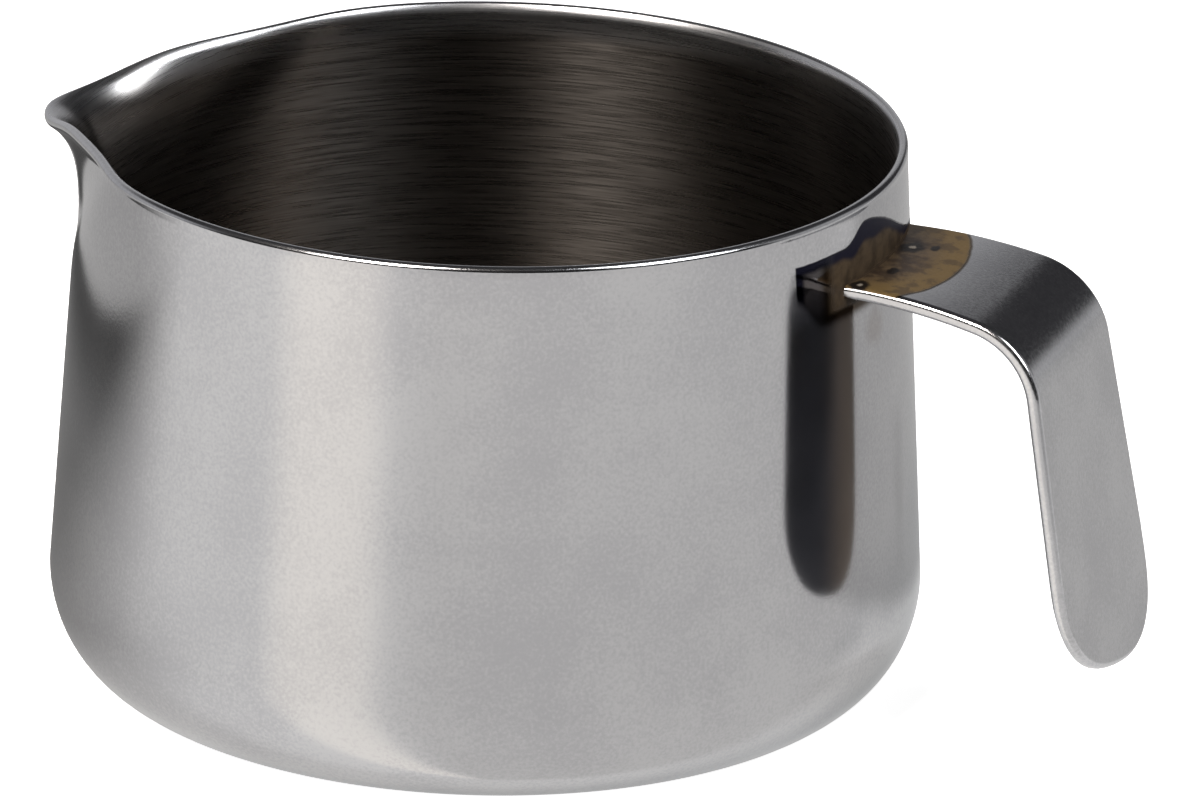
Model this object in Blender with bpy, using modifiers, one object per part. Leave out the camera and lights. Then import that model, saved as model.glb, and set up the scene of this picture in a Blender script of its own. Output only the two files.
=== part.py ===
"""Candle melting pot: a drawn steel pot with a pressed pouring spout, and a strap handle welded to its wall.

Metres, +Z up. The origin is the centre of the pot's underside. The handle points along +X and the spout
along -X. Both sides of the XZ plane are alike, apart from the strap's slightly slanted end.
"""

import math

import bmesh
import bpy

# Pot: outside sizes
BELLY_RADIUS = 0.0480
BELLY_HEIGHT = 0.0118
LIP_RADIUS = 0.0453
POT_HEIGHT = 0.0616
FOOT_RADIUS = 0.0384
SHEET = 0.0012
LIP_FLARE = 0.0003
LIP_FLARE_DEPTH = 0.0012
LIP_ROUNDING = 0.0004

# Spout: how far it comes out of the rim, how far its tip hangs down, and how far down the wall it starts
SPOUT_REACH = 0.0070
SPOUT_REACH_ANGLE = math.radians(14.9)
SPOUT_REACH_POWER = 1.75
SPOUT_DIP = 0.0027
SPOUT_DIP_ANGLE = math.radians(13.8)
SPOUT_DIP_POWER = 2.8
SPOUT_SAG = 0.0015
SPOUT_SAG_ANGLE = math.radians(34)
SPOUT_CURL_DEPTH = 0.0034
SPOUT_THROAT_DEPTH = 0.0190
SPOUT_THROAT_SHARE = 0.3
SPOUT_THROAT_NARROWING = 0.7
SPOUT_DROP_DEPTH = 0.0080
FLANK_DIP = 0.0009
FLANK_ANGLE = math.radians(33)
FLANK_SPREAD = math.radians(10.5)

# Handle: one strap, bent twice. Sizes along its mid-plane
STRAP_HEIGHT = 0.0531
STRAP_SHEET = 0.0015
STRAP_ROOT_WIDTH = 0.0226
STRAP_TIP_WIDTH = 0.0285
STRAP_EDGE_ROUNDING = 0.0004
ROOT_STRAIGHT_TO = 0.0440
ARCH_RADIUS = 0.0670
ARCH_TURN = math.radians(13)
BEND_RADIUS = 0.0093
BEND_TURN = math.radians(66.5)
LEG_LENGTH = 0.0228
TIP_LENGTH = 0.0113
TIP_SLANT = 0.0028
TIP_POWER = 2.5

WELD_RADIUS = 0.0005
GAP = 0.0003

POT_SEGMENTS = 84
SEGMENT_CROWDING = 0.5
WALL_DEPTHS = 12
CORNER_STEPS = 8
STRAP_STATIONS = 44
STRAP_COLUMNS = 9
WELD_POINTS = 13

STEEL = ("pot_steel", (0.60, 0.60, 0.61), 0.24)
STRAP_STEEL = ("strap_steel", (0.62, 0.62, 0.64), 0.30)
WELD_STEEL = ("weld_steel", (0.20, 0.15, 0.10), 0.45)


def clear_scene():
    for thing in list(bpy.data.objects):
        bpy.data.objects.remove(thing, do_unlink=True)


def collection_named(name):
    group = bpy.data.collections.new(name)
    bpy.context.scene.collection.children.link(group)
    return group


def steel(look):
    name, colour, roughness = look
    material = bpy.data.materials.new(name)
    material.use_nodes = True
    shader = material.node_tree.nodes["Principled BSDF"]
    shader.inputs["Base Color"].default_value = (*colour, 1.0)
    shader.inputs["Metallic"].default_value = 1.0
    shader.inputs["Roughness"].default_value = roughness
    return material


def add_piece(name, mesh, look, group):
    piece = bpy.data.objects.new(name, mesh)
    mesh.materials.append(steel(look))
    mesh.shade_smooth()
    group.objects.link(piece)
    return piece


def shell(piece, thickness, offset, rounding):
    """Gives an open surface its sheet thickness, then rounds the sheet's cut edges."""
    solid = piece.modifiers.new("sheet", "SOLIDIFY")
    solid.thickness = thickness
    solid.offset = offset
    solid.use_even_offset = True
    edges = piece.modifiers.new("edges", "BEVEL")
    edges.width = rounding
    edges.segments = 2
    edges.limit_method = "ANGLE"
    edges.angle_limit = math.radians(50)


def wall_radius(height):
    """The straight, slightly tapered wall between the belly and the rim."""
    share = (height - BELLY_HEIGHT) / (POT_HEIGHT - BELLY_HEIGHT)
    return BELLY_RADIUS + (LIP_RADIUS - LIP_FLARE - BELLY_RADIUS) * share


def pot_profile():
    """Outside of the pot from the rim down to the flat base, as (radius, height) pairs."""
    profile = []
    for step in range(3):
        share = step / 2
        height = POT_HEIGHT - LIP_FLARE_DEPTH * share
        profile.append((wall_radius(height) + LIP_FLARE * (1 - share) ** 2, height))
    top = POT_HEIGHT - LIP_FLARE_DEPTH
    for step in range(1, WALL_DEPTHS + 1):
        share = (step / WALL_DEPTHS) ** 1.6
        height = top + (BELLY_HEIGHT - top) * share
        profile.append((wall_radius(height), height))
    for step in range(1, CORNER_STEPS + 1):
        turn = math.pi / 2 * step / CORNER_STEPS
        radius = FOOT_RADIUS + (BELLY_RADIUS - FOOT_RADIUS) * math.cos(turn)
        profile.append((radius, BELLY_HEIGHT * (1 - math.sin(turn))))
    return profile


def smooth_fade(share):
    """1 at share 0, 0 from share 1 on, level at both ends."""
    left = max(0.0, 1.0 - share)
    return left * left * (3 - 2 * left)


def hump(angle, width, power):
    """1 on the spout's centre line, falling off evenly to both sides."""
    return math.exp(-(abs(angle) / width) ** power)


def spout_pull(angle, depth):
    """How far the pressed spout moves the wall outwards and down, at an angle from the spout's centre line."""
    narrowed = angle / (1 - SPOUT_THROAT_NARROWING * min(depth / SPOUT_THROAT_DEPTH, 1.0))
    curl = math.exp(-depth / SPOUT_CURL_DEPTH)
    throat = smooth_fade(depth / SPOUT_THROAT_DEPTH)
    reach = SPOUT_REACH * hump(narrowed, SPOUT_REACH_ANGLE, SPOUT_REACH_POWER)
    dip = FLANK_DIP * hump(abs(narrowed) - FLANK_ANGLE, FLANK_SPREAD, 2) * throat
    outwards = reach * ((1 - SPOUT_THROAT_SHARE) * curl + SPOUT_THROAT_SHARE * throat) - dip
    down = SPOUT_DIP * hump(angle, SPOUT_DIP_ANGLE, SPOUT_DIP_POWER)
    down += SPOUT_SAG * hump(angle, SPOUT_SAG_ANGLE, 2)
    return outwards, down * math.exp(-depth / SPOUT_DROP_DEPTH)


def turned_surface(profile):
    """The profile turned about Z with a Screw modifier, as a new open mesh."""
    line = bpy.data.meshes.new("pot_profile")
    edges = [(step, step + 1) for step in range(len(profile) - 1)]
    line.from_pydata([(radius, 0.0, height) for radius, height in profile], edges, [])
    turned = bpy.data.objects.new("pot_profile", line)
    bpy.context.scene.collection.objects.link(turned)
    screw = turned.modifiers.new("turn", "SCREW")
    screw.steps = POT_SEGMENTS
    screw.render_steps = POT_SEGMENTS
    screw.use_merge_vertices = True
    screw.merge_threshold = 0.00001
    evaluated = turned.evaluated_get(bpy.context.evaluated_depsgraph_get())
    mesh = bpy.data.meshes.new_from_object(evaluated)
    bpy.data.objects.remove(turned, do_unlink=True)
    return mesh


def press_spout(mesh):
    """Crowds the turned segments towards -X, and pulls the wall out into the spout there."""
    for vertex in mesh.vertices:
        x, y, height = vertex.co
        radius = math.hypot(x, y)
        turn = math.atan2(y, x)
        turn += SEGMENT_CROWDING * math.sin(turn)
        from_spout = math.pi - abs(turn)
        outwards, down = spout_pull(from_spout, POT_HEIGHT - height)
        radius += outwards
        vertex.co = (radius * math.cos(turn), radius * math.sin(turn), height - down)


def close_base(mesh):
    """Fills the ring at the foot with one flat face."""
    build = bmesh.new()
    build.from_mesh(mesh)
    foot = [edge for edge in build.edges if edge.is_boundary and edge.verts[0].co.z < BELLY_HEIGHT / 2]
    bmesh.ops.holes_fill(build, edges=foot)
    build.to_mesh(mesh)
    build.free()


def make_pot(group):
    mesh = turned_surface(pot_profile())
    press_spout(mesh)
    close_base(mesh)
    pot = add_piece("pot_body", mesh, STEEL, group)
    shell(pot, SHEET, -1.0, LIP_ROUNDING)


def strap_path(distance):
    """(x, z) of the strap's mid-plane at a distance along it, from the pot's axis outwards."""
    if distance <= ROOT_STRAIGHT_TO:
        return distance, STRAP_HEIGHT
    x, z, slope = ROOT_STRAIGHT_TO, STRAP_HEIGHT, 0.0
    left = distance - ROOT_STRAIGHT_TO
    for radius, full_turn in ((ARCH_RADIUS, ARCH_TURN), (BEND_RADIUS, BEND_TURN)):
        turn = min(left / radius, full_turn)
        x += radius * (math.sin(slope + turn) - math.sin(slope))
        z -= radius * (math.cos(slope) - math.cos(slope + turn))
        slope += turn
        left -= radius * turn
    return x + left * math.cos(slope), z - left * math.sin(slope)


def leg_end():
    return ROOT_STRAIGHT_TO + ARCH_RADIUS * ARCH_TURN + BEND_RADIUS * BEND_TURN + LEG_LENGTH


def strap_width(distance):
    """The strap widens evenly from the pot to the end of its leg."""
    share = (distance - wall_radius(STRAP_HEIGHT)) / (leg_end() - wall_radius(STRAP_HEIGHT))
    return STRAP_ROOT_WIDTH + (STRAP_TIP_WIDTH - STRAP_ROOT_WIDTH) * min(max(share, 0.0), 1.0)


def make_strap(group):
    build = bmesh.new()
    bmesh.ops.create_grid(build, x_segments=STRAP_STATIONS, y_segments=STRAP_COLUMNS, size=1.0)
    root = wall_radius(STRAP_HEIGHT) + GAP
    for vertex in build.verts:
        along = (vertex.co.x + 1) / 2
        across = math.sin(vertex.co.y * math.pi / 2)
        half_root = across * STRAP_ROOT_WIDTH / 2
        start = math.sqrt(root * root - half_root * half_root)
        tip = TIP_LENGTH * max(0.0, 1 - abs(across) ** TIP_POWER) ** (1 / TIP_POWER)
        end = leg_end() + tip + TIP_SLANT * across
        distance = start + along * (end - start)
        x, z = strap_path(distance)
        vertex.co = (x, across * strap_width(distance) / 2, z)
    mesh = bpy.data.meshes.new("handle_strap")
    build.to_mesh(mesh)
    build.free()
    strap = add_piece("handle_strap", mesh, STRAP_STEEL, group)
    shell(strap, STRAP_SHEET, 0.0, STRAP_EDGE_ROUNDING)


def make_weld(name, side, group):
    """A bead of weld metal in the corner between the wall and the strap, above it or below it."""
    height = STRAP_HEIGHT + side * (STRAP_SHEET / 2 + GAP + WELD_RADIUS)
    radius = wall_radius(height) + GAP + WELD_RADIUS
    reach = math.asin((STRAP_ROOT_WIDTH / 2 - WELD_RADIUS) / radius)
    bead = bpy.data.curves.new(name, "CURVE")
    bead.dimensions = "3D"
    bead.bevel_depth = WELD_RADIUS
    bead.bevel_resolution = 2
    bead.use_fill_caps = True
    line = bead.splines.new("POLY")
    line.points.add(WELD_POINTS - 1)
    for step, point in enumerate(line.points):
        turn = reach * (2 * step / (WELD_POINTS - 1) - 1)
        point.co = (radius * math.cos(turn), radius * math.sin(turn), height, 1.0)
    piece = bpy.data.objects.new(name, bead)
    bead.materials.append(steel(WELD_STEEL))
    group.objects.link(piece)


clear_scene()
pieces = collection_named("candle_melting_pot")
make_pot(pieces)
make_strap(pieces)
make_weld("weld_bead_upper", 1, pieces)
make_weld("weld_bead_lower", -1, pieces)
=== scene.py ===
"""Looks of the candle melting pot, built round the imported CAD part.

Metres, +Z up, in the CAD's frame: the handle points along +X and the pouring spout along -X.
Four numbers named as a ramp are: from, to, value at from, value at to.
"""

import math

import bpy
import numpy as np
from mathutils import Matrix, Vector


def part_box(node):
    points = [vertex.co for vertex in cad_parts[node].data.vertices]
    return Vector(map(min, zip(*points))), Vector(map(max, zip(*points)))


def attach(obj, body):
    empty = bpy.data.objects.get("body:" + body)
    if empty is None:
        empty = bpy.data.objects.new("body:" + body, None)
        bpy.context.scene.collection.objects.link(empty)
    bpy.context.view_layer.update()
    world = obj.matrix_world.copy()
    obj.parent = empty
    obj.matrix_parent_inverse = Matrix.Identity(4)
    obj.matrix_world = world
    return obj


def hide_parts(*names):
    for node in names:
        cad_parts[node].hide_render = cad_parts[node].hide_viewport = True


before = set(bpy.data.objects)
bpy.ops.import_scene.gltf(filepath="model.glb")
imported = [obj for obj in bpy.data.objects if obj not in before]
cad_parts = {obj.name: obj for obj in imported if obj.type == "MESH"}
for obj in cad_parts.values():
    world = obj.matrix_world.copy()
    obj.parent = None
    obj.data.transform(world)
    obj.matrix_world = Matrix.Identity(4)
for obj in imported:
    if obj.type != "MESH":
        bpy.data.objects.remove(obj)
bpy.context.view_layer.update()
_, POT_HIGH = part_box("pot_body")

# Pot
BELLY_RADIUS = POT_HIGH.y
BELLY_HEIGHT = 0.0118
LIP_RADIUS = 0.0453
POT_HEIGHT = 0.0616
FOOT_RADIUS = 0.0384
SHEET = 0.0012
LIP_FLARE = 0.0003
LIP_FLARE_DEPTH = 0.0008
INSIDE_FADE = 0.0035

# Spout: reach and drop of the rim, by angle from the spout's centre line
SPOUT_REACH = 0.0070
SPOUT_REACH_ANGLE = math.radians(14.9)
SPOUT_REACH_POWER = 1.75
SPOUT_DIP = 0.0027
SPOUT_DIP_ANGLE = math.radians(13.8)
SPOUT_DIP_POWER = 2.8
SPOUT_SAG = 0.0015
SPOUT_SAG_ANGLE = math.radians(34)
SPOUT_CURL_DEPTH = 0.0034
SPOUT_THROAT_DEPTH = 0.0190
SPOUT_THROAT_SHARE = 0.3
SPOUT_THROAT_NARROWING = 0.7
SPOUT_DROP_DEPTH = 0.0080
FLANK_DIP = 0.0009
FLANK_ANGLE = math.radians(33)
FLANK_SPREAD = math.radians(10.5)

# Handle strap, along its mid-plane
STRAP_HEIGHT = 0.0531
STRAP_SHEET = 0.0015
STRAP_ROOT_WIDTH = 0.0226
STRAP_TIP_WIDTH = 0.0285
ROOT_STRAIGHT_TO = 0.0440
ARCH_RADIUS = 0.0670
ARCH_TURN = math.radians(13)
BEND_RADIUS = 0.0093
BEND_TURN = math.radians(66.5)
LEG_LENGTH = 0.0228
TIP_LENGTH = 0.0113
TIP_SLANT = 0.0028
TIP_POWER = 2.5
STRAP_ROUNDING = 0.0007
ROOT_SINK = 0.0004
EDGE_POWER = 2 / 2.6

# Weld fillets between the wall and the strap
FILLET_SIZE = 0.0009
FILLET_END_SIZE = 0.00005
FILLET_END_POWER = 10
FILLET_SINK = 0.0002
FILLET_OVERHANG = 0.0001

# Painted reflection of the strap's heat-tinted top on the wall, with a dark blue rim: its outline by side
# (Y), as ramps of height, and the widths of its parts
PAINTED_REFLECTION_TOP = 0.0580
PAINTED_REFLECTION_CLIMB = (-0.0108, -0.0064, 0.0, 0.0019)
PAINTED_REFLECTION_FALL = (-0.0070, 0.0125, 0.0, 0.0058)
PAINTED_REFLECTION_FOOT = (-0.0190, -0.0150, 0.0528, 0.0492)
PAINTED_REFLECTION_FOOT_FADE = 0.0030
PAINTED_REFLECTION_EDGE = (-0.0001, 0.0003)
PAINTED_REFLECTION_LEFT = -0.0190
PAINTED_REFLECTION_RIGHT = 0.0135
PAINTED_REFLECTION_FROM_X = (0.035, 0.038)
PAINTED_REFLECTION_WOBBLE = 0.0005
PAINTED_REFLECTION_BROWN_SIDE = (-0.0158, -0.0142)
PAINTED_REFLECTION_MATT_SIDE = (-0.0145, -0.0125)
BLUE_RIM = 0.0008
BLUE_RIM_FADE = 0.0008
BLUE_BUMP = 0.0011
BLUE_BUMP_STARTS = (-0.0112, -0.0085)
BLUE_BUMP_ENDS = (-0.0045, -0.0005, 1.0, 0.0)

# Painted reflection and shade of the handle on the wall below its root: centre, half-sizes, noise scale,
# raggedness, ramp of strength, colour
HANDLE_REFLECTION_AND_SHADE = (
    ((0.0455, -0.0045, 0.0475), (0.01, 0.0030, 0.0030), 300.0, 0.8,
     (0.7, 1.4, 0.28, 0.0), (0.25, 0.19, 0.15)),
    ((0.0465, 0.0012, 0.0270), (0.01, 0.0030, 0.0130), 240.0, 1.0,
     (0.6, 1.5, 0.30, 0.0), (0.27, 0.265, 0.27)),
)

# Heat tint at the strap's root: centre and half-sizes
TINT = ((0.0445, 0.0005, 0.0), (0.0085, 0.0145, 0.0))

# Two weld marks and two specks in the tint: centre, half-sizes, strength of the pale middle
WELD_MARKS = (
    ((0.0469, 0.0037, 0.0), (0.0013, 0.0020, 0.0), 1.0),
    ((0.0455, -0.0100, 0.0), (0.0011, 0.0015, 0.0), 1.0),
    ((0.0492, 0.0047, 0.0), (0.0005, 0.0009, 0.0), 0.0),
    ((0.0473, -0.0042, 0.0), (0.0006, 0.0011, 0.0), 0.0),
)

# Colours: two ends of a mottled range, or one flat colour
OUTER_STEEL = ((0.485, 0.485, 0.497), (0.565, 0.565, 0.571))
# Inside steel painted far darker than the outside, as shade in the pot's hollow
SHADED_INNER_STEEL = ((0.120, 0.108, 0.097), (0.165, 0.150, 0.136))
STRAP_STEEL = ((0.535, 0.535, 0.547), (0.635, 0.635, 0.643))
# Strap's underside painted dark as shade, grey-blue on the -Y side to brown on the +Y side
STRAP_UNDERSIDE_SHADE = ((0.070, 0.070, 0.080), (0.21, 0.17, 0.14))
# Painted reflection of the strap's heat-tinted top in the wall: brown, grey towards -Y, dark blue rim
PAINTED_REFLECTION_BROWN = ((0.034, 0.023, 0.014), (0.068, 0.047, 0.028))
PAINTED_REFLECTION_GREY = (0.17, 0.155, 0.15)
PAINTED_REFLECTION_BLUE = (0.005, 0.005, 0.014)
TINT_BROWN = ((0.027, 0.018, 0.012), (0.066, 0.045, 0.026))
TINT_GOLD = (0.092, 0.060, 0.023)
MARK_RING = (0.007, 0.005, 0.004)
MARK_MIDDLE = (0.16, 0.14, 0.115)
WELD_METAL = ((0.018, 0.012, 0.008), (0.045, 0.030, 0.018))

# Noise scales: fine grain everywhere, and the inside's marks along and across the circles they follow
GRAIN = 2600.0
MARKS_ALONG = 110.0
MARKS_ACROSS = 5200.0

# Mesh fineness
POT_SEGMENTS = 320
SEGMENT_CROWDING = 0.55
FLARE_RINGS = 8
WALL_RINGS = 40
RING_CROWDING = 1.6
LIP_RINGS = 12
LIP_CLEARANCE = 1.05
CORNER_RINGS = 22
BASE_RINGS = 14
STRAP_STATIONS = 180
STATION_CROWDING = 1.15
STRAP_COLUMNS = 36
EDGE_RINGS = 12
TOP_EDGE_RINGS = 4
UNDER_EDGE_RINGS = 3
FILLET_STATIONS = 90
FILLET_COLUMNS = 10

# Camera
CAMERA_AZIMUTH = math.radians(19.5)
CAMERA_ELEVATION = math.radians(20.17)
CAMERA_DISTANCE = 28 * BELLY_RADIUS
CAMERA_TARGET_HEIGHT = 0.65 * BELLY_RADIUS
CAMERA_ROLL = math.radians(1.452)
CAMERA_LENS = 367.3
CAMERA_SENSOR = 36
CAMERA_AIM = Vector((0.01153, 0.00395, 0.03099))

# Azimuths below are degrees from the camera's own, positive to its right. A facing is an azimuth and
# the angles from it at which something is still full and has faded out.

# Table, with the sheens it shows to a mirror: facing and gain
TABLE_SIZE = 2.0
TABLE_DROP = 0.0001
TABLE_PAINT = 0.8
TABLE_PAINT_MIRRORED = 0.30
TABLE_SEEN_GLOW = 0.90
TABLE_GLOW = 0.47
TABLE_SHEENS = (
    ((-43, 6, 20), 0.235),
    ((-70, 15, 45), 0.08),
    ((45, 55, 78), -0.13),
)
WARM_SHEEN = (1.0, 0.955, 0.90)

# Table's edge and its end, with a soft shadow before the edge: ramps of the distance outwards or along
TABLE_EDGE_AZIMUTH = -133.5
TABLE_EDGE = (0.168, 0.176)
TABLE_END = (-0.067, -0.055, 1.0, 0.0)
TABLE_END_OUT = (-0.13, -0.09)
SHADOW_START = (0.09, 0.16, 0.005, 0.07)
SHADOW_END = (0.064, 0.16, 0.105, 0.195)
SHADOW_DEPTH = (0.11, 0.165, 0.28, 0.10)
SHADOW_FROM = (0.0, 0.045)
BEYOND_TABLE = 0.66
BEYOND_SHADE = (0.10, 0.22, BEYOND_TABLE, 0.95)

# Room: facings, ramps of a ray's rise, and colours
FRONT = (0, 66.4, 101.5)
HORIZON = (140, 36.9, 53.1)
HORIZON_TOP = (0.03, 0.17, 1.0, 0.0)
SIDE_WALL = (103, 11.5, 25.8)
BACKDROP = (-137, 36.9, 60)
BACKDROP_TOP = (0.35, 0.62, 1.0, 0.0)
ROOM_COLOUR = (0.035, 0.035, 0.038)
FRONT_COLOUR = (0.012, 0.012, 0.013)
HORIZON_COLOUR = (0.48, 0.48, 0.49)
SIDE_WALL_COLOUR = (0.45, 0.45, 0.46)
BACKDROP_COLOUR = (0.50, 0.50, 0.52)

# Grey card behind the pot
CARD_DISTANCE = 0.50
CARD_LEFT = -0.30
CARD_RIGHT = 0.25
CARD_FADE = 0.11
CARD_HEIGHT = 0.28
CARD_GLOW = 0.50
CARD_EDGE_GLOW = 0.04
CARD_COLOUR = (1.0, 1.0, 1.03)

# Softboxes: name, azimuth, width, height, power, colour
SOFTBOX_DISTANCE = 1.2
SOFTBOX_ELEVATION = 45
SOFTBOXES = (
    ("softbox_left", -36, 0.5, 0.6, 21, (1.0, 0.94, 0.89)),
    ("softbox_right", 57, 0.6, 0.6, 11, (0.97, 0.98, 1.0)),
)


# ---------------------------------------------------------------- shapes

def wall_radius(height):
    share = (height - BELLY_HEIGHT) / (POT_HEIGHT - BELLY_HEIGHT)
    return BELLY_RADIUS + (LIP_RADIUS - LIP_FLARE - BELLY_RADIUS) * share


def pot_profile():
    """Outside of the pot from the rim down to the foot, as radius and height arrays."""
    flare = np.linspace(0, 1, FLARE_RINGS)
    height = POT_HEIGHT - LIP_FLARE_DEPTH * flare
    radius = wall_radius(height) + LIP_FLARE * (1 - flare) ** 2
    top = POT_HEIGHT - LIP_FLARE_DEPTH
    share = (np.arange(1, WALL_RINGS + 1) / WALL_RINGS) ** RING_CROWDING
    wall_height = top + (BELLY_HEIGHT - top) * share
    turn = math.pi / 2 * np.arange(1, CORNER_RINGS + 1) / CORNER_RINGS
    corner_radius = FOOT_RADIUS + (BELLY_RADIUS - FOOT_RADIUS) * np.cos(turn)
    corner_height = BELLY_HEIGHT * (1 - np.sin(turn))
    radius = np.concatenate([radius, wall_radius(wall_height), corner_radius])
    return radius, np.concatenate([height, wall_height, corner_height])


def smooth_fade(share):
    left = np.maximum(0.0, 1.0 - share)
    return left * left * (3 - 2 * left)


def spout_pull(angle, depth):
    """How far the pressed spout moves the wall outwards and down."""
    narrowed = angle / (1 - SPOUT_THROAT_NARROWING * np.minimum(depth / SPOUT_THROAT_DEPTH, 1.0))
    curl = np.exp(-depth / SPOUT_CURL_DEPTH)
    throat = smooth_fade(depth / SPOUT_THROAT_DEPTH)
    reach = SPOUT_REACH * np.exp(-(narrowed / SPOUT_REACH_ANGLE) ** SPOUT_REACH_POWER)
    flank = (narrowed - FLANK_ANGLE) / FLANK_SPREAD
    dip = FLANK_DIP * np.exp(-flank * flank) * throat
    outwards = reach * ((1 - SPOUT_THROAT_SHARE) * curl + SPOUT_THROAT_SHARE * throat) - dip
    rim_drop = (SPOUT_DIP * np.exp(-(angle / SPOUT_DIP_ANGLE) ** SPOUT_DIP_POWER)
                + SPOUT_SAG * np.exp(-(angle / SPOUT_SAG_ANGLE) ** 2))
    return outwards, rim_drop * np.exp(-depth / SPOUT_DROP_DEPTH)


def grid_normals(points):
    """Unit normals of a grid of rings by segments, closed along the segments."""
    around = np.roll(points, -1, axis=1) - np.roll(points, 1, axis=1)
    along = np.gradient(points, axis=0)
    normal = np.cross(along, around)
    return normal / np.maximum(np.linalg.norm(normal, axis=2, keepdims=True), 1e-12)


def pot_outside():
    """Points of the pot's outer surface, rings by segments."""
    radius, height = pot_profile()
    turn = np.linspace(-math.pi, math.pi, POT_SEGMENTS, endpoint=False)
    turn = turn + SEGMENT_CROWDING * np.sin(turn)
    depth = POT_HEIGHT - height
    outwards, down = spout_pull(math.pi - np.abs(turn)[None, :], depth[:, None])
    radius = radius[:, None] + outwards
    height = height[:, None] - down
    return np.stack([radius * np.cos(turn), radius * np.sin(turn), height + 0 * turn], axis=2)


def ring_faces(rings, segments):
    """Quads between consecutive rings, closed along the segments."""
    faces = []
    for ring in range(rings - 1):
        for step in range(segments):
            after = (step + 1) % segments
            a, b = ring * segments, (ring + 1) * segments
            faces.append((a + step, b + step, b + after, a + after))
    return faces


def make_mesh(name, points, faces):
    mesh = bpy.data.meshes.new(name)
    mesh.from_pydata([tuple(p) for p in points], [], faces)
    mesh.shade_smooth()
    mesh.update()
    return mesh


def add_piece(name, mesh, material):
    piece = bpy.data.objects.new(name, mesh)
    mesh.materials.append(material)
    bpy.context.scene.collection.objects.link(piece)
    return piece


def set_attribute(mesh, name, values):
    attribute = mesh.attributes.new(name, "FLOAT", "POINT")
    attribute.data.foreach_set("value", np.asarray(values, np.float32))


def pot_shell():
    """Closed pot surface: outside from foot to lip, round the lip, and inside down to the floor."""
    outside = pot_outside()
    normals = grid_normals(outside)
    half = SHEET / 2
    rim, rim_normal = outside[0], normals[0]
    upwards = rim - outside[1]
    upwards -= (upwards * rim_normal).sum(1, keepdims=True) * rim_normal
    upwards /= np.linalg.norm(upwards, axis=1, keepdims=True)
    centre = rim - half * rim_normal - half * upwards
    lip = []
    for step in range(1, LIP_RINGS):
        turn = math.pi * step / LIP_RINGS
        lip.append(centre + half * (math.cos(turn) * rim_normal + math.sin(turn) * upwards))
    depth = POT_HEIGHT - pot_profile()[1]
    keep = depth > half * LIP_CLEARANCE
    lower = outside[keep]
    inside = lower - SHEET * normals[keep]
    rings = np.concatenate([lower[::-1], np.array(lip), inside])
    inner = np.concatenate([np.zeros(len(lower)), np.linspace(0, 1, len(lip)), np.ones(len(inside))])
    deep = np.concatenate([np.zeros(len(lower) + len(lip)), np.clip(depth[keep] / INSIDE_FADE, 0, 1)])
    return rings, inner, deep


def base_disc(ring):
    """Rings that fill a flat base, from its edge towards its middle."""
    shares = 1 - np.arange(1, BASE_RINGS + 1) / (BASE_RINGS + 1)
    height = np.full(len(ring), ring[:, 2].mean())
    return np.stack([np.column_stack([ring[:, :2] * share, height]) for share in shares])


def make_pot(steel):
    shell, inner, deep = pot_shell()
    grid = np.concatenate([base_disc(shell[0])[::-1], shell, base_disc(shell[-1])])
    rings, segments = grid.shape[:2]
    points = np.vstack([grid.reshape(-1, 3), grid[0].mean(0), grid[-1].mean(0)])
    low, high = len(points) - 2, len(points) - 1
    last = (rings - 1) * segments
    faces = ring_faces(rings, segments)
    for step in range(segments):
        after = (step + 1) % segments
        faces.append((low, step, after))
        faces.append((high, last + after, last + step))
    mesh = make_mesh("melting_pot", points, [face[::-1] for face in faces])
    for name, shares in (("inside", inner), ("deep", deep)):
        shares = np.concatenate([np.zeros(BASE_RINGS), shares, np.ones(BASE_RINGS)])
        set_attribute(mesh, name, np.concatenate([np.repeat(shares, segments), [0, 1]]))
    return add_piece("melting_pot", mesh, steel)


def strap_path(distance):
    """x, z and slope of the strap's mid-plane at distances along it from the pot's axis."""
    distance = np.asarray(distance, float)
    x = np.minimum(distance, ROOT_STRAIGHT_TO)
    z = np.full_like(distance, STRAP_HEIGHT)
    slope = np.zeros_like(distance)
    left = np.maximum(distance - ROOT_STRAIGHT_TO, 0)
    for radius, full_turn in ((ARCH_RADIUS, ARCH_TURN), (BEND_RADIUS, BEND_TURN)):
        turn = np.minimum(left / radius, full_turn)
        x = x + radius * (np.sin(slope + turn) - np.sin(slope))
        z = z - radius * (np.cos(slope) - np.cos(slope + turn))
        slope = slope + turn
        left = left - radius * turn
    return x + left * np.cos(slope), z - left * np.sin(slope), slope


LEG_END = ROOT_STRAIGHT_TO + ARCH_RADIUS * ARCH_TURN + BEND_RADIUS * BEND_TURN + LEG_LENGTH


def strap_width(distance):
    root = wall_radius(STRAP_HEIGHT)
    share = np.clip((distance - root) / (LEG_END - root), 0, 1)
    return STRAP_ROOT_WIDTH + (STRAP_TIP_WIDTH - STRAP_ROOT_WIDTH) * share


def strap_sheet(inset):
    """Flat plan of the strap as a grid of (distance, sideways), drawn in from its free edges."""
    along = np.linspace(0, 1, STRAP_STATIONS)[:, None]
    across = np.sin(np.linspace(-1, 1, STRAP_COLUMNS) * math.pi / 2)[None, :]
    root = wall_radius(STRAP_HEIGHT) - ROOT_SINK
    half_root = across * STRAP_ROOT_WIDTH / 2
    start = np.sqrt(root * root - half_root * half_root)
    tip = TIP_LENGTH * np.maximum(0.0, 1 - np.abs(across) ** TIP_POWER) ** (1 / TIP_POWER)
    end = LEG_END + tip + TIP_SLANT * across
    distance = start + (1 - (1 - along) ** STATION_CROWDING) * (end - start)
    sideways = across * strap_width(distance) / 2
    half = strap_width(distance) / 2
    length = TIP_LENGTH + LEG_END - root
    distance = root + (distance - root) * (1 - inset / length)
    return distance, sideways * (1 - inset / half)


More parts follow.
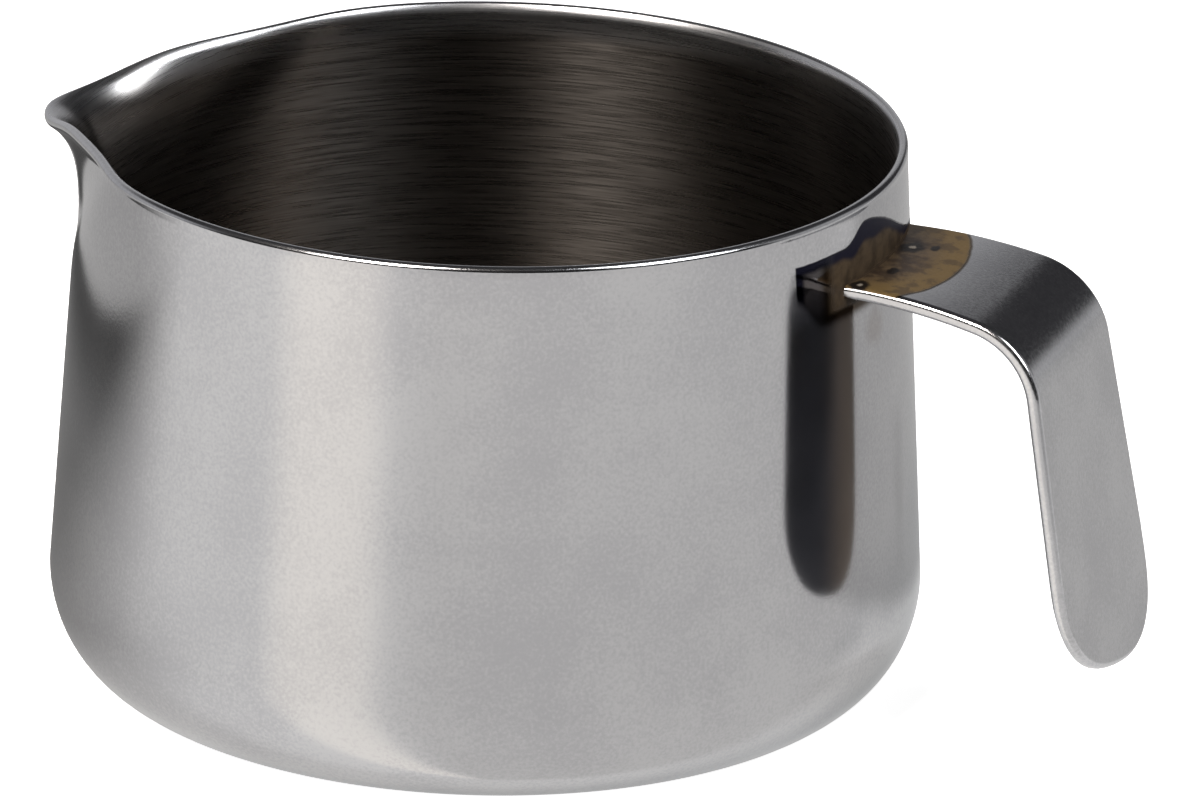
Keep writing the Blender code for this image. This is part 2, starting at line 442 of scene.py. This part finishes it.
def lift(distance, sideways, height):
    """Points at a height off the strap's mid-plane."""
    x, z, slope = strap_path(distance)
    return np.stack([x + height * np.sin(slope), sideways, z + height * np.cos(slope)], axis=-1)


def border(grid):
    """Points round a grid's edge, in order."""
    return np.concatenate([grid[:-1, 0], grid[-1, :-1], grid[:0:-1, -1], grid[0, :0:-1]])


def strap_edge(half):
    """Points round the strap's rounded edge, ring by ring, from its top face down to its underside."""
    rings = []
    for step in range(1, EDGE_RINGS):
        turn = math.pi * step / EDGE_RINGS
        out = math.sin(turn) ** EDGE_POWER
        up = math.copysign(abs(math.cos(turn)) ** EDGE_POWER, math.cos(turn))
        plan = strap_sheet(STRAP_ROUNDING * (1 - out))
        rings.append(border(lift(*plan, half * up)))
    return rings


def strap_faces(starts):
    """Quads of both flat faces and of the edge between them; starts are the first points of the rings."""
    index = np.arange(STRAP_STATIONS * STRAP_COLUMNS).reshape(STRAP_STATIONS, STRAP_COLUMNS)
    low = starts[-1]
    faces = []
    for i in range(STRAP_STATIONS - 1):
        for j in range(STRAP_COLUMNS - 1):
            quad = (index[i, j], index[i + 1, j], index[i + 1, j + 1], index[i, j + 1])
            faces.append(quad)
            faces.append(tuple(low + corner for corner in reversed(quad)))
    loop = border(index[:, :, None])[:, 0]
    loops = [loop] + [start + np.arange(len(loop)) for start in starts[1:-1]] + [low + loop]
    for upper, lower in zip(loops, loops[1:]):
        for k in range(len(loop)):
            n = (k + 1) % len(loop)
            faces.append((upper[k], lower[k], lower[n], upper[n]))
    return [tuple(int(corner) for corner in face) for face in faces]


def make_strap(steel):
    half = STRAP_SHEET / 2
    plan = strap_sheet(STRAP_ROUNDING)
    top, bottom = (lift(*plan, height).reshape(-1, 3) for height in (half, -half))
    rings = [top] + strap_edge(half) + [bottom]
    starts = np.cumsum([0] + [len(ring) for ring in rings[:-1]])
    mesh = make_mesh("strap_handle", np.concatenate(rings), strap_faces(starts))
    order = np.concatenate([np.full(len(ring), k) for k, ring in enumerate(rings)])
    set_attribute(mesh, "topside", order < TOP_EDGE_RINGS)
    set_attribute(mesh, "underside", order > EDGE_RINGS - UNDER_EDGE_RINGS)
    return add_piece("strap_handle", mesh, steel)


def fillet_section(side, turn, size):
    """Points round a weld fillet where it crosses an azimuth: a hollow curve, then a corner in the joint."""
    base = STRAP_HEIGHT + side * STRAP_SHEET / 2
    section = []
    for bend in np.linspace(0, math.pi / 2, FILLET_COLUMNS):
        out = size * (1 - math.sin(bend)) - FILLET_SINK
        height = base + side * (size * (1 - math.cos(bend)) - FILLET_SINK)
        section.append((wall_radius(height) + out, height))
    section.append((wall_radius(base) - FILLET_SINK, base - side * FILLET_SINK))
    return [(radius * math.cos(turn), radius * math.sin(turn), height) for radius, height in section]


def make_weld(name, side, steel):
    """Fillet of weld metal between the wall and the strap, above it (side 1) or below it (side -1)."""
    turn_reach = math.asin((STRAP_ROOT_WIDTH / 2 + FILLET_OVERHANG) / LIP_RADIUS)
    points = []
    for share in np.linspace(-1, 1, FILLET_STATIONS):
        size = FILLET_SIZE * (1 - abs(share) ** FILLET_END_POWER) ** 0.5 + FILLET_END_SIZE
        points += fillet_section(side, turn_reach * share, size)
    width = FILLET_COLUMNS + 1
    faces = []
    for i in range(FILLET_STATIONS - 1):
        for j in range(width):
            n = (j + 1) % width
            faces.append((i * width + j, (i + 1) * width + j, (i + 1) * width + n, i * width + n))
    faces.append(tuple(range(width)))
    faces.append(tuple((FILLET_STATIONS - 1) * width + j for j in reversed(range(width))))
    faces = faces if side > 0 else [face[::-1] for face in faces]
    return add_piece(name, make_mesh(name, points, faces), steel)


# ---------------------------------------------------------------- materials

class Graph:
    """Short calls for building a material's nodes."""

    def __init__(self, name):
        self.material = bpy.data.materials.new(name)
        self.material.use_nodes = True
        self.tree = self.material.node_tree
        self.shader = self.tree.nodes["Principled BSDF"]

    @classmethod
    def over(cls, tree):
        """The same calls for a node tree that already exists."""
        made = cls.__new__(cls)
        made.tree = tree
        return made

    def node(self, kind, **settings):
        made = self.tree.nodes.new(kind)
        for key, value in settings.items():
            setattr(made, key, value)
        return made

    def put(self, socket, value):
        if isinstance(value, bpy.types.NodeSocket):
            self.tree.links.new(value, socket)
        elif isinstance(value, tuple) and len(value) == 3 and socket.type == "RGBA":
            socket.default_value = (*value, 1.0)
        else:
            socket.default_value = value

    def set_shader(self, **inputs):
        """Fill the shader's inputs, named with underscores for spaces."""
        for name, value in inputs.items():
            self.put(self.shader.inputs[name.replace("_", " ")], value)

    def math(self, operation, *values):
        made = self.node("ShaderNodeMath", operation=operation)
        for socket, value in zip(made.inputs, values):
            self.put(socket, value)
        return made.outputs[0]

    def plus(self, first, second):
        return self.math("ADD", first, second)

    def minus(self, first, second):
        return self.math("SUBTRACT", first, second)

    def times(self, first, second):
        return self.math("MULTIPLY", first, second)

    def vector(self, operation, *values):
        made = self.node("ShaderNodeVectorMath", operation=operation)
        for socket, value in zip(made.inputs, values):
            self.put(socket, value)
        return made.outputs[1 if operation in ("LENGTH", "DOT_PRODUCT") else 0]

    def parts(self, vector):
        made = self.node("ShaderNodeSeparateXYZ")
        self.put(made.inputs[0], vector)
        return made.outputs

    def noise(self, vector, scale, detail=4.0, roughness=0.5):
        made = self.node("ShaderNodeTexNoise")
        self.put(made.inputs["Vector"], vector)
        self.put(made.inputs["Scale"], scale)
        self.put(made.inputs["Detail"], detail)
        self.put(made.inputs["Roughness"], roughness)
        return made.outputs["Fac"]

    def fit(self, value, low, high, to_low=0.0, to_high=1.0, smooth=True):
        """Ramp from one number to another while the value goes from low to high."""
        made = self.node("ShaderNodeMapRange", interpolation_type="SMOOTHSTEP" if smooth else "LINEAR")
        for socket, number in zip(made.inputs, (value, low, high, to_low, to_high)):
            self.put(socket, number)
        return made.outputs[0]

    def blend(self, share, first, second):
        """Number between two others."""
        made = self.node("ShaderNodeMix")
        self.put(made.inputs[0], share)
        self.put(made.inputs[2], first)
        self.put(made.inputs[3], second)
        return made.outputs[0]

    def mix(self, share, first, second):
        """Colour between two others."""
        made = self.node("ShaderNodeMix", data_type="RGBA")
        self.put(made.inputs[0], share)
        self.put(made.inputs[6], first)
        self.put(made.inputs[7], second)
        return made.outputs[2]

    def bump(self, height, strength, distance):
        made = self.node("ShaderNodeBump")
        self.put(made.inputs["Height"], height)
        made.inputs["Strength"].default_value = strength
        made.inputs["Distance"].default_value = distance
        return made.outputs[0]

    def attribute(self, name):
        return self.node("ShaderNodeAttribute", attribute_name=name).outputs["Fac"]

    def position(self):
        return self.node("ShaderNodeTexCoord").outputs["Object"]


def spot(g, place, centre, radii):
    """Distance from a centre, counted in radii, so 1 is the edge of an ellipsoid."""
    scale = tuple(1 / r if r else 0.0 for r in radii)
    return g.vector("LENGTH", g.vector("MULTIPLY", g.vector("SUBTRACT", place, centre), scale))


def satin(g, patches, grain, colours):
    """Steel whose colour varies a little, in patches and in a fine grain."""
    cloudy = g.plus(g.times(patches, 0.5), g.times(grain, 0.5))
    return g.mix(g.fit(cloudy, 0.36, 0.64), *colours)


def painted_reflection_depth(g, place, side, height):
    """Distance inwards from the outline of the strap's painted reflection on the wall."""
    climb = g.fit(side, *PAINTED_REFLECTION_CLIMB)
    fall = g.fit(side, *PAINTED_REFLECTION_FALL)
    wobble = g.times(g.minus(g.noise(place, 300.0, 2.0), 0.5), PAINTED_REFLECTION_WOBBLE)
    top = g.plus(g.minus(g.plus(climb, PAINTED_REFLECTION_TOP), fall), wobble)
    across = g.math("MINIMUM", g.minus(side, PAINTED_REFLECTION_LEFT), g.minus(PAINTED_REFLECTION_RIGHT, side))
    return g.math("MINIMUM", g.minus(top, height), across)


def painted_wall_reflection(g, place):
    """Share, colour and mattness of the strap's painted reflection on the wall: brown, with a dark blue rim.
    """
    x, side, height = g.parts(place)
    inwards = painted_reflection_depth(g, place, side, height)
    above_foot = g.minus(height, g.fit(side, *PAINTED_REFLECTION_FOOT))
    share = g.times(g.fit(inwards, *PAINTED_REFLECTION_EDGE), g.fit(above_foot, 0.0, PAINTED_REFLECTION_FOOT_FADE))
    share = g.times(share, g.fit(x, *PAINTED_REFLECTION_FROM_X))
    # brown of the strap's painted reflection, grey towards -Y
    brown = g.mix(g.fit(g.noise(place, 500.0, 5.0, 0.6), 0.35, 0.65), *PAINTED_REFLECTION_BROWN)
    brown = g.mix(g.fit(side, *PAINTED_REFLECTION_BROWN_SIDE), PAINTED_REFLECTION_GREY, brown)
    bump = g.times(g.fit(side, *BLUE_BUMP_STARTS), g.fit(side, *BLUE_BUMP_ENDS))
    blue_width = g.math("MULTIPLY_ADD", bump, BLUE_BUMP, BLUE_RIM)
    colour = g.mix(g.fit(g.minus(inwards, blue_width), 0.0, BLUE_RIM_FADE), PAINTED_REFLECTION_BLUE, brown)
    matt = g.times(g.fit(share, 0.7, 1.0), g.fit(side, *PAINTED_REFLECTION_MATT_SIDE))
    return g.fit(share, 0.0, 0.6), colour, matt


def circling_marks(g, place):
    """Noise drawn out round the pot's axis, on the wall and on the base alike."""
    radius = g.vector("LENGTH", g.vector("MULTIPLY", place, (1.0, 1.0, 0.0)))
    rings = g.node("ShaderNodeCombineXYZ")
    g.put(rings.inputs["Z"], g.times(radius, MARKS_ACROSS))
    stretched = g.vector("MULTIPLY", place, (MARKS_ALONG, MARKS_ALONG, MARKS_ACROSS))
    return g.noise(g.vector("ADD", stretched, rings.outputs[0]), 1.0, 3.0, 0.6)


def pot_steel():
    """Bright satin outside with painted reflection and shade of the handle below its root and a painted
    reflection of the strap over the weld; inside painted darker as shade, with marks round it.
    """
    g = Graph("pot_steel")
    place = g.position()
    inside, deep = g.attribute("inside"), g.attribute("deep")
    marks = circling_marks(g, place)
    grain = g.noise(place, GRAIN, 2.0)
    patches = g.noise(place, 70.0, 3.0)
    # painted reflection of the strap on the wall: share, colour, mattness
    reflection_share, reflection_colour, matt = painted_wall_reflection(g, place)
    outer = satin(g, patches, grain, OUTER_STEEL)
    # painted reflection and shade of the handle on the wall below its root
    for centre, radii, scale, raggedness, strength, colour in HANDLE_REFLECTION_AND_SHADE:
        away = g.plus(spot(g, place, centre, radii), g.times(g.noise(place, scale), raggedness))
        outer = g.mix(g.fit(away, *strength), outer, colour)
    outer = g.mix(reflection_share, outer, reflection_colour)
    # inside colour: painted shade of the hollow, mottled by the circling marks
    inner = g.mix(g.fit(marks, 0.35, 0.65), *SHADED_INNER_STEEL)
    rough = g.blend(inside, g.fit(patches, 0.3, 0.7, 0.085, 0.115), g.fit(marks, 0.3, 0.7, 0.26, 0.32))
    rough = g.math("MULTIPLY_ADD", g.minus(reflection_share, matt), -0.05, rough)
    height = g.plus(g.times(grain, 0.5), g.times(marks, g.times(deep, 0.6)))
    g.set_shader(
        Base_Color=g.mix(deep, outer, inner),
        Metallic=g.math("MULTIPLY_ADD", matt, -0.85, 1.0),
        Roughness=g.math("MULTIPLY_ADD", matt, 0.35, rough),
        Specular_IOR_Level=g.math("MULTIPLY_ADD", matt, -0.4, 0.5),
        Anisotropic=g.times(deep, 0.9),
        Anisotropic_Rotation=0.25,
        Tangent=g.node("ShaderNodeTangent", direction_type="RADIAL", axis="Z").outputs[0],
        Normal=g.bump(height, 0.08, 0.00005),
    )
    return g.material


def tint_colour(g, place, reach):
    """Brown to gold of the strap's heat tint, and how far its weld marks stand up."""
    blotch = g.fit(g.noise(place, 450.0, 5.0, 0.6), 0.38, 0.62)
    gold = g.times(g.fit(reach, 0.50, 0.90), g.fit(blotch, 0.0, 0.6, 0.45, 0.95))
    colour = g.mix(gold, g.mix(blotch, *TINT_BROWN), TINT_GOLD)
    raised = 0.0
    for centre, radii, middle in WELD_MARKS:
        away = g.plus(spot(g, place, centre, radii), g.times(blotch, 0.25))
        colour = g.mix(g.fit(away, 0.80, 1.35, 1.0, 0.0), colour, MARK_RING)
        colour = g.mix(g.fit(away, 0.20, 0.45, middle, 0.0), colour, MARK_MIDDLE)
        raised = g.plus(g.fit(away, 0.3, 1.2, 1.0, 0.0), raised)
    return colour, raised


def strap_steel():
    """Satin strap: heat tint with weld marks on top of its root, and an underside painted dark as shade."""
    g = Graph("strap_steel")
    place = g.position()
    grain = g.noise(place, GRAIN, 2.0)
    top, under = g.attribute("topside"), g.attribute("underside")
    reach = g.plus(spot(g, place, *TINT), g.times(g.noise(place, 260.0, 2.0), 0.05))
    matt = g.times(g.fit(reach, 1.04, 1.08, 1.0, 0.0), top)
    tint = g.times(g.fit(reach, 1.075, 1.11, 1.0, 0.0), top)
    tinted, raised = tint_colour(g, place, reach)
    bare = satin(g, g.noise(place, 90.0, 3.0), grain, STRAP_STEEL)
    # underside painted dark as shade, grey-blue to brown across the strap
    underside_shade = g.mix(g.fit(g.parts(place)["Y"], -0.004, 0.012), *STRAP_UNDERSIDE_SHADE)
    g.set_shader(
        Base_Color=g.mix(under, g.mix(tint, bare, tinted), underside_shade),
        Metallic=g.math("MULTIPLY_ADD", matt, -0.92, 1.0),
        Roughness=g.math("MULTIPLY_ADD", matt, 0.22, g.fit(grain, 0.3, 0.7, 0.15, 0.20)),
        Specular_IOR_Level=g.math("MULTIPLY_ADD", matt, -0.35, 0.5),
        Normal=g.bump(g.math("MULTIPLY_ADD", raised, 4.0, grain), 0.06, 0.00005),
    )
    return g.material


def weld_steel():
    """Scorched weld metal."""
    g = Graph("weld_steel")
    blotch = g.noise(g.position(), 900.0, 4.0)
    g.set_shader(
        Base_Color=g.mix(blotch, *WELD_METAL),
        Metallic=0.0,
        Roughness=g.fit(blotch, 0.3, 0.7, 0.45, 0.65),
        Specular_IOR_Level=0.05,
        Normal=g.bump(blotch, 0.3, 0.0002),
    )
    return g.material


# ---------------------------------------------------------------- studio

def direction(azimuth, elevation):
    """Unit vector at an azimuth from the camera's own, positive to the camera's right."""
    turn = CAMERA_AZIMUTH + math.radians(azimuth)
    rise = math.radians(elevation)
    return Vector((math.sin(turn) * math.cos(rise), -math.cos(turn) * math.cos(rise), math.sin(rise)))


def distance_along(g, place, azimuth):
    return g.vector("DOT_PRODUCT", place, tuple(direction(azimuth, 0)))


def facing(g, level, azimuth, full, faded):
    """1 where a level direction lies near an azimuth, fading to 0 at a wider angle."""
    ends = math.cos(math.radians(faded)), math.cos(math.radians(full))
    return g.fit(distance_along(g, level, azimuth), *ends)


def table_shade(g, place):
    """How much of the table's light the steel sees: a soft shadow up to the table's edge, dimmer past it."""
    out = distance_along(g, place, TABLE_EDGE_AZIMUTH)
    along = distance_along(g, place, TABLE_EDGE_AZIMUTH + 90)
    starts = g.fit(out, *SHADOW_START, smooth=False)
    ends = g.fit(out, *SHADOW_END, smooth=False)
    share = g.math("DIVIDE", g.minus(along, starts), g.minus(ends, starts))
    least = g.fit(out, *SHADOW_FROM, 1.0, g.fit(out, *SHADOW_DEPTH))
    shadow = g.fit(share, 0.0, 1.0, least, 1.0)
    shade = g.blend(g.fit(out, *TABLE_EDGE), shadow, g.fit(along, *BEYOND_SHADE))
    past_end = g.times(g.fit(along, *TABLE_END), g.fit(out, *TABLE_END_OUT))
    return g.blend(past_end, shade, BEYOND_TABLE)


def table_material():
    """White table. A mirror-like thing standing on it also sees its sheen, by the direction it looks in."""
    g = Graph("floor")
    geometry = g.node("ShaderNodeNewGeometry")
    level = g.vector("NORMALIZE", g.vector("MULTIPLY", geometry.outputs["Incoming"], (-1.0, -1.0, 0.0)))
    glow = TABLE_GLOW
    for where, gain in TABLE_SHEENS:
        glow = g.math("MULTIPLY_ADD", facing(g, level, *where), gain, glow)
    shade = table_shade(g, geometry.outputs["Position"])
    seen = g.node("ShaderNodeLightPath").outputs["Is Camera Ray"]
    unseen = g.minus(1.0, seen)
    grey = g.times(g.math("MAXIMUM", g.times(shade, TABLE_PAINT_MIRRORED), seen), TABLE_PAINT)
    base = g.node("ShaderNodeCombineColor")
    for socket in base.inputs[:3]:
        g.put(socket, grey)
    warm = g.times(facing(g, level, *TABLE_SHEENS[0][0]), unseen)
    mirrored_glow = g.times(g.times(glow, shade), unseen)
    g.set_shader(
        Base_Color=base.outputs[0],
        Roughness=0.9,
        Specular_IOR_Level=0.0,
        Emission_Color=g.mix(warm, (1.0, 1.0, 1.0), WARM_SHEEN),
        Emission_Strength=g.math("MULTIPLY_ADD", seen, TABLE_SEEN_GLOW, mirrored_glow),
    )
    return g.material


def make_floor():
    signs = ((-1, -1), (1, -1), (1, 1), (-1, 1))
    corners = [(x * TABLE_SIZE, y * TABLE_SIZE, -TABLE_DROP) for x, y in signs]
    add_piece("floor", make_mesh("floor", corners, [(0, 1, 2, 3)]), table_material())


def make_softbox(name, azimuth, width, height, power, colour):
    lamp = bpy.data.lights.new(name, "AREA")
    lamp.shape = "RECTANGLE"
    lamp.size, lamp.size_y = width, height
    lamp.energy = power
    lamp.color = colour
    box = bpy.data.objects.new(name, lamp)
    bpy.context.scene.collection.objects.link(box)
    towards = direction(azimuth, SOFTBOX_ELEVATION)
    box.location = towards * SOFTBOX_DISTANCE
    box.rotation_mode = "QUATERNION"
    box.rotation_quaternion = towards.to_track_quat("Z", "Y")


def make_world():
    """Dim room, darkest in front, with lighter walls behind the pot and at its right."""
    world = bpy.data.worlds.new("studio")
    bpy.context.scene.world = world
    world.use_nodes = True
    g = Graph.over(world.node_tree)
    ray = g.node("ShaderNodeTexCoord").outputs["Generated"]
    level = g.vector("NORMALIZE", g.vector("MULTIPLY", ray, (1.0, 1.0, 0.0)))
    rise = g.parts(ray)["Z"]
    below_top = g.fit(rise, *BACKDROP_TOP)
    horizon = g.times(facing(g, level, *HORIZON), g.fit(rise, *HORIZON_TOP))
    colour = g.mix(facing(g, level, *FRONT), ROOM_COLOUR, FRONT_COLOUR)
    colour = g.mix(horizon, colour, HORIZON_COLOUR)
    colour = g.mix(g.times(facing(g, level, *SIDE_WALL), below_top), colour, SIDE_WALL_COLOUR)
    colour = g.mix(g.times(facing(g, level, *BACKDROP), below_top), colour, BACKDROP_COLOUR)
    g.put(world.node_tree.nodes["Background"].inputs["Color"], colour)


def make_card():
    """Grey card behind the pot, out of the picture, that the strap and the spout's tip look at."""
    g = Graph("card")
    right = direction(90, 0)
    aside = g.vector("DOT_PRODUCT", g.position(), tuple(right))
    g.set_shader(
        Base_Color=(0.0, 0.0, 0.0),
        Specular_IOR_Level=0.0,
        Emission_Color=CARD_COLOUR,
        Emission_Strength=g.fit(aside, CARD_RIGHT - CARD_FADE, CARD_RIGHT, CARD_GLOW, CARD_EDGE_GLOW),
    )
    middle = direction(180, 0) * CARD_DISTANCE
    feet = [middle + right * side for side in (CARD_LEFT, CARD_RIGHT)]
    corners = feet + [foot + Vector((0, 0, CARD_HEIGHT)) for foot in reversed(feet)]
    card = add_piece("card", make_mesh("card", corners, [(0, 1, 2, 3)]), g.material)
    card.visible_camera = card.visible_shadow = card.visible_diffuse = False


def make_camera():
    back = direction(0, math.degrees(CAMERA_ELEVATION))
    camera = bpy.data.objects.new("camera", bpy.data.cameras.new("camera"))
    bpy.context.scene.collection.objects.link(camera)
    location = Vector((0, 0, CAMERA_TARGET_HEIGHT)) + back * CAMERA_DISTANCE
    look = (CAMERA_AIM - location).to_track_quat("-Z", "Y").to_matrix()
    turn = Matrix.Rotation(CAMERA_ROLL, 3, "Z")
    camera.matrix_world = Matrix.Translation(location) @ (look @ turn).to_4x4()
    camera.data.lens = CAMERA_LENS
    camera.data.sensor_width = CAMERA_SENSOR
    camera.data.clip_end = 10
    bpy.context.scene.camera = camera


def stand_for(piece, node):
    """Put a visible piece under the root body and hide the CAD node it replaces."""
    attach(piece, "root")
    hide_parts(node)


stand_for(make_pot(pot_steel()), "pot_body")
stand_for(make_strap(strap_steel()), "handle_strap")
weld_metal = weld_steel()
stand_for(make_weld("weld_fillet_upper", 1, weld_metal), "weld_bead_upper")
stand_for(make_weld("weld_fillet_lower", -1, weld_metal), "weld_bead_lower")

make_floor()
for softbox in SOFTBOXES:
    make_softbox(*softbox)
make_world()
make_card()
make_camera()
bpy.context.scene.view_settings.view_transform = "Standard"
